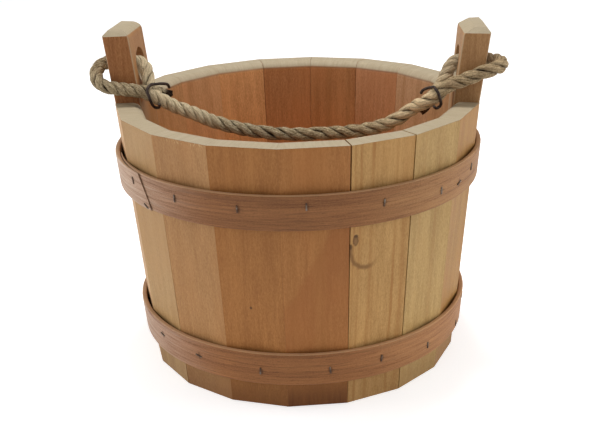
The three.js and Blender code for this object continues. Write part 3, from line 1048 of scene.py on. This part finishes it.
route = [
    *reversed(left_loop),
    *(hang(-share, drop) for share, drop in LEFT_SPAN),
    hang(0, SPAN_DROP),
    *(hang(share, drop) for share, drop in reversed(RIGHT_SPAN)),
    *right_loop,
]
rope_path, rope_length = smooth_route(route)
rope_frames = carried_frames(rope_path)
rope_end = len(rope_path) - 1
rope_step = rope_length / rope_end
middle = min(range(rope_end), key=lambda i: abs(rope_path[i].x))
farthest = max(range(rope_end), key=lambda i: rope_path[i].x)

rope_turns = [0.0]  # of a strand, up to each point of the rope's path
for i, point in enumerate(rope_path[1:]):
    in_loop = clamped((abs(point.x) - LAY_FROM) / LAY_OVER)
    loop_lay = LAY_LEFT if point.x < 0 else LAY_RIGHT if i < farthest else LAY_RIGHT_TAIL
    lay = LAY_MIDDLE + (loop_lay - LAY_MIDDLE) * in_loop
    run = i * rope_step
    uneven = 1 + sum(share * sin(run / length) for share, length in LAY_WAVES)
    rope_turns.append(rope_turns[-1] + rope_step / lay * uneven)


def strand_left(i):
    """How much of a strand is left at a point of the rope's path: 1, or less near a tail's end."""
    from_tail = min(i, rope_end - i) * rope_step
    return 1 - TAIL_WORN * max(0.0, 1 - from_tail / TAIL_TAPER)


def strand_line(strand):
    """The centres and outward directions of one strand along the rope's path."""
    centres, outs = [], []
    for i, (ahead, side, over) in enumerate(rope_frames):
        run = i * rope_step
        stray = sum(share * sin(run / length + lag * strand) for share, length, lag in WANDER_WAVES)
        turn = 2 * pi * (rope_turns[i] + strand / 3 + STRAND_WANDER * stray)
        outs.append(side * cos(turn) + over * sin(turn))
        centres.append(rope_path[i] + outs[i] * STRAND_REACH * strand_left(i))
    return centres, outs


strand_lines = [strand_line(strand) for strand in range(3)]


def ring_round(centre, out, over, radius, sides):
    turns = [2 * pi * j / sides for j in range(sides)]
    return [centre + (out * cos(turn) + over * sin(turn)) * radius for turn in turns]


def tube_faces(base, rings, sides):
    """The faces of a tube whose rings of points start at a base, and last its two end caps."""
    far = base + (rings - 1) * sides
    wall = [
        (a + j, a + (j + 1) % sides, a + sides + (j + 1) % sides, a + sides + j)
        for a in range(base, far, sides)
        for j in range(sides)
    ]
    return [*wall, tuple(reversed(range(base, base + sides))), tuple(range(far, far + sides))]


def mesh_piece(name, verts, faces, sharp):
    """A piece made from its points and faces, smooth up to an angle."""
    mesh = bpy.data.meshes.new(name)
    mesh.from_pydata(verts, [], faces)
    piece = bpy.data.objects.new(name, mesh)
    bpy.context.scene.collection.objects.link(piece)
    only(piece)
    bpy.ops.object.shade_smooth_by_angle(angle=sharp)
    return piece


def rope_half(name, first, last):
    """The three strands between two points of the rope's path, and stray fibres, as one closed mesh."""
    verts, faces, uvs, crowns, cuts = [], [], [], [], []
    fray = random.Random(len(name))
    tail = first if first == 0 else last
    rings = last - first + 1
    swell = [(fray.uniform(*LUMP_LENGTH), fray.uniform(0, ROUND)) for _ in range(LUMPS)]
    for strand, (centres, outs) in enumerate(strand_lines):
        base = len(verts)
        for i in range(first, last + 1):
            ahead = ahead_at(centres, i)
            out = (outs[i] - ahead * outs[i].dot(ahead)).normalized()
            wide = ahead.cross(out) * STRAND_FLAT
            run = i * rope_step
            lump = sum(sin(run * ROUND / length + phase) for length, phase in swell[strand::3])
            for j in range(STRAND_SIDES):
                around = 2 * pi * j / STRAND_SIDES + pi
                yarn = YARNS * (around + 2 * pi * run / YARN_TURN)
                full = STRAND_FULL + YARN_RELIEF * cos(yarn) + STRAND_LUMP * lump
                radius = STRAND_RADIUS * full * strand_left(i)
                off = (out * cos(around) + wide * sin(around)) * radius
                push = ahead * fray.uniform(-TAIL_RAGGED, TAIL_RAGGED) if i == tail else Vector()
                verts.append(centres[i] + off + push)
                crowns.append((verts[-1] - rope_path[i]).length / (ROPE_DIAMETER / 2))
                cuts.append(max(0.0, 1 - abs(i - tail) * rope_step / TAIL_END_SHADE))
        faces += tube_faces(base, rings, STRAND_SIDES)[:-2]
        for i in range(first, last):
            for j in range(STRAND_SIDES):
                for ring, corner in ((i, j), (i, j + 1), (i + 1, j + 1), (i + 1, j)):
                    run = ring * rope_step
                    uvs.append((corner / STRAND_SIDES + run / YARN_TURN + strand * 4, run))
        for i, forward in ((first, -1), (last, 1)):
            at = base + (i - first) * STRAND_SIDES
            hub = len(verts)
            verts.append(centres[i] + rope_frames[i][0] * forward * (TAIL_BULGE if i == tail else 0.0))
            crowns.append(END_CROWN)
            cuts.append(1.0 if i == tail else 0.0)
            for j in range(STRAND_SIDES):
                k = (j + 1) % STRAND_SIDES
                faces.append((hub, at + k, at + j) if forward < 0 else (hub, at + j, at + k))
                for share in (0.5, (j + 1) / STRAND_SIDES, j / STRAND_SIDES):
                    uvs.append((share * 3 + strand, i * rope_step))
    for _ in range(STRAY_FIBRES):
        centres, outs = strand_lines[fray.randrange(3)]
        reach = STRAY_STRIDE * (STRAY_RINGS - 1)
        i = fray.randrange(first + STRAY_CLEAR, last - reach - STRAY_CLEAR)
        turn = fray.uniform(-STRAY_SPREAD, STRAY_SPREAD)
        lift = fray.uniform(*STRAY_LIFT)
        hair = tube_faces(len(verts), STRAY_RINGS, STRAY_SIDES)
        for ring in range(STRAY_RINGS):
            share = ring / (STRAY_RINGS - 1)
            at = i + ring * STRAY_STRIDE
            out = outs[at]
            over = ahead_at(centres, at).cross(out)
            away = out * cos(turn) + over * sin(turn) * STRAND_FLAT
            root = centres[at] + away * (STRAND_RADIUS - STRAY_RADIUS + lift * share * share)
            radius = STRAY_RADIUS * (1 - STRAY_THINS * share)
            verts += ring_round(root, out, over, radius, STRAY_SIDES)
            crowns += [1.0] * STRAY_SIDES
            cuts += [0.0] * STRAY_SIDES
        faces += hair
        uvs += [(turn, i * rope_step)] * sum(len(face) for face in hair)
    half = mesh_piece(name, verts, faces, STRAND_SMOOTH)
    lay = half.data.uv_layers.new(name="yarn")
    for loop, uv in zip(lay.data, uvs):
        loop.uv = uv
    for kind, values in (("crown", crowns), ("cut", cuts)):
        half.data.attributes.new(kind, "FLOAT", "POINT").data.foreach_set("value", values)
    return half


rope_finish, start = new_finish("rope_fibre")
run = start.node("UVMap", {"uv_map": "yarn"})
crown = start.node("Attribute", {"attribute_name": "crown"}, None, "Fac")
cut = start.node("Attribute", {"attribute_name": "cut"}, None, "Fac")
fibre = run.noise(40, 330, 1, 4.0, 0.75)
tuft = run.noise(12, 240, 1, 3.0, 0.65, 0.6)
stain = run.noise(1.2, 30, 1)
speck = run.noise(13, 1000, 1, 2.0, 0.6)
figure = (fibre - 0.5) * 1.7 + (tuft - 0.5) * 2.0 + (speck - 0.5) * 1.6
base = (figure + 0.5).blend((116, 98, 66), (220, 203, 168))
# The loops in front of the ears and outside them are darkened as painted shade, and the rest
# is lightened as painted light, apart from the middle of the span.
spot = start.coords("Object")
off_middle = abs(spot.part(0))
in_front = off_middle.between(0.108, 0.124) * spot.part(1).until(-0.028, -0.018)
painted_shade_loops = start.math("MAXIMUM", in_front, off_middle.between(0.138, 0.152))
right_half = spot.part(0).between(-0.04, 0.06)
painted_light_spans = (off_middle - right_half * 0.010).between(0.048, 0.090) * (1.0 - painted_shade_loops)
behind = spot.part(1).between(-0.024, -0.014)
parting = abs(start.math("FRACT", run.part(0) * YARNS + 0.5) - 0.5)
groove_shade = crown.until(0.66, 1.0)
broken = run.noise(2.2, 140, 1, 2.0, 0.6).between(0.36, 0.60)
for share, *over in (
    (stain.between(0.45, 0.7) * 0.4, (172, 150, 122)),
    # Painted light on the spans, and painted shade on the loops.
    (painted_light_spans * 0.65, (242, 221, 182)),
    (painted_shade_loops, (0.94, 0.91, 0.89, 1.0), "MULTIPLY"),
    # The right half is made lighter and warmer, and darker where it lies behind, as painted shade.
    (right_half * (1.0 - behind), (1.14, 1.07, 1.0, 1.0), "MULTIPLY"),
    (right_half * behind, (0.80, 0.77, 0.76, 1.0), "MULTIPLY"),
    # Painted shade in the partings between the yarns.
    (parting.until(0.0, 0.2) * (0.1 + tuft * 0.5), (88, 70, 46)),
    (tuft.between(0.58, 0.70) * 0.45, (86, 66, 42)),
    (speck.between(0.58, 0.70) * 0.6, (66, 48, 30)),
    # Painted shade in the grooves between the strands.
    (groove_shade * (0.75 + broken * 0.4), (40, 27, 15)),
    # Painted shade on the cut ends of the tails.
    (cut.between(0.0, 0.8) * 0.9, right_half.blend((44, 30, 20), (84, 60, 37))),
):
    base = share.blend(base, *over)
close_finish(start, base, 0.88 + fibre * 0.1, fibre * 0.6 + tuft * 1.5, 0.0014, shine=0.12)

for name, first, last, side in (
    ("rope_left_half", 0, middle, -1),
    ("rope_right_half", middle, rope_end, 1),
):
    half = rope_half(name, first, last)
    half.data.materials.append(rope_finish)
    path = rope_path[first : last + 1 : CORD_STRIDE]
    if path[-1] != rope_path[last]:
        path.append(rope_path[last])
    if side > 0:
        path.reverse()
    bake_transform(half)
    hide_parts(*(("rope_loop_left", "rope_span") if side < 0 else ("rope_loop_right",)))
    rope_step * (last - first)


# ---- Wire rings ----
# A short length of dark iron wire is bent by hand round both strands at each throat.
# It is left open, and it clamps the rope's tail to its standing part. Its points are given from
# the ear's hole, as the loops' are.
WIRE_RADIUS = 0.0012
WIRE_SIDES = 14
WIRE_FILED = 0.72  # the radius of its filed ends, as a share of the wire's
LEFT_RING = (
    (-31.8, -36.6, -25.4), (-30.5, -33.8, -29), (-27, -33, -29.2), (-25.2, -37, -24.2),
    (-24.1, -38.4, -18.5), (-22.6, -37.3, -13.8), (-24, -32, -11), (-27.5, -22, -12.2),
    (-31, -16.5, -13.2), (-33.8, -11.5, -15.2), (-34.6, -9, -18.8),
)
RIGHT_RING = (
    (-38.5, -17, -22.3), (-36.8, -18, -19.2), (-33.4, -20.6, -16.9), (-30.6, -27, -14.7),
    (-28.2, -35.6, -12.8), (-25.3, -39.2, -16.5), (-23.8, -39.2, -21.3), (-22.9, -37.2, -25.2),
    (-23.7, -35.4, -28), (-26.2, -36.8, -29.2), (-28.7, -40, -26.9),
)


def bent_wire(name, points):
    """A round wire along a smooth route, with filed ends."""
    path, _ = smooth_route(points)
    verts = []
    for i, (_, side, over) in enumerate(carried_frames(path)):
        radius = WIRE_RADIUS * (WIRE_FILED if i in (0, len(path) - 1) else 1.0)
        verts += ring_round(path[i], side, over, radius, WIRE_SIDES)
    return mesh_piece(name, verts, tube_faces(0, len(path), WIRE_SIDES), SMOOTH_ANGLE)


wire_finish = iron("dark_wire", (62, 48, 40), (40, 30, 26), (58, 38, 26))
for node, points, side in (("wire_ring_left", LEFT_RING, -1), ("wire_ring_right", RIGHT_RING, 1)):
    ring = bent_wire(node.replace("wire", "bent"), from_hole(points, side))
    fit_piece(ring, wire_finish, "dark_wire", node)


# ---- Floor, light and camera ----
# A plain white floor and a soft studio: a pale world, broad lamps at both sides and in front, and
# a smaller one above.
# The camera stands where the photograph was taken from.
FLOOR_SIZE = 12
FLOOR_GLOW = 0.55
WORLD_LIGHT = 0.40
LIT_PLACE = (0, 0, 0.11)  # where the lamps aim

select_none()
bpy.ops.mesh.primitive_plane_add(size=FLOOR_SIZE, location=(0, 0, 0))
floor = bpy.context.object
floor.name = "floor"
floor_finish, start = new_finish("floor_white")
seen = start.node("LightPath", None, None, "Is Camera Ray")
shiny = start.node("LightPath", None, None, "Is Glossy Ray")
paint = start.node(
    "BsdfPrincipled", None,
    {"Base Color": colour((236, 236, 236)), "Roughness": 0.9, "Specular IOR Level": 0.0},
)
WHITE = (1, 1, 1, 1)
strength = (seen + shiny) * FLOOR_GLOW
glow = start.node("Emission", None, {"Color": WHITE, "Strength": strength})
both = start.node("AddShader", None, {0: paint, 1: glow})
start.node("OutputMaterial", None, {"Surface": both}, None)
floor.data.materials.append(floor_finish)

world = bpy.data.worlds.new("studio")
bpy.context.scene.world = world
start = open_nodes(world)
seen = start.node("LightPath", None, None, "Is Camera Ray")
strength = seen * (1 - WORLD_LIGHT) + WORLD_LIGHT
sky = start.node("Background", None, {"Color": WHITE, "Strength": strength})
start.node("OutputWorld", None, {"Surface": sky}, None)

# Each lamp: its place, the side of its square, and its power in watts.
LAMPS = (
    ("left_lamp", (-1.7, -0.05, 0.55), 1.2, 18.0),
    ("right_lamp", (1.7, 0.0, 0.55), 1.2, 13.5),
    ("top_lamp", (0.0, 0.25, 1.8), 0.35, 15.5),
    ("front_lamp", (0.3, -2.0, 1.1), 1.6, 4.0),
)
for name, place, size, power in LAMPS:
    select_none()
    bpy.ops.object.light_add(type="AREA", location=place)
    lamp = bpy.context.object
    lamp.name = name
    lamp.data.energy = power
    lamp.data.size = size
    aim = Vector(LIT_PLACE) - Vector(place)
    lamp.rotation_euler = aim.to_track_quat("-Z", "Y").to_euler()

CAMERA_PLACE = (0.0821, -0.7976, 0.4233)
CAMERA_AZIMUTH = radians(5.91)
CAMERA_ELEVATION = radians(21.20)
CAMERA_ROLL = radians(1.64)
LENS = 58.38
FRAME_WIDTH = 36  # millimetres, as the lens
camera = bpy.data.objects.new("photo_camera", bpy.data.cameras.new("photo_camera"))
bpy.context.scene.collection.objects.link(camera)
camera.data.lens = LENS
camera.data.sensor_width = FRAME_WIDTH
camera.data.sensor_fit = "HORIZONTAL"
camera.data.clip_start = 0.01
camera.matrix_world = (
    Matrix.Translation(CAMERA_PLACE)
    @ Matrix.Rotation(CAMERA_AZIMUTH, 4, "Z")
    @ Matrix.Rotation(pi / 2 - CAMERA_ELEVATION, 4, "X")
    @ Matrix.Rotation(-CAMERA_ROLL, 4, "Z")
)
bpy.context.scene.camera = camera
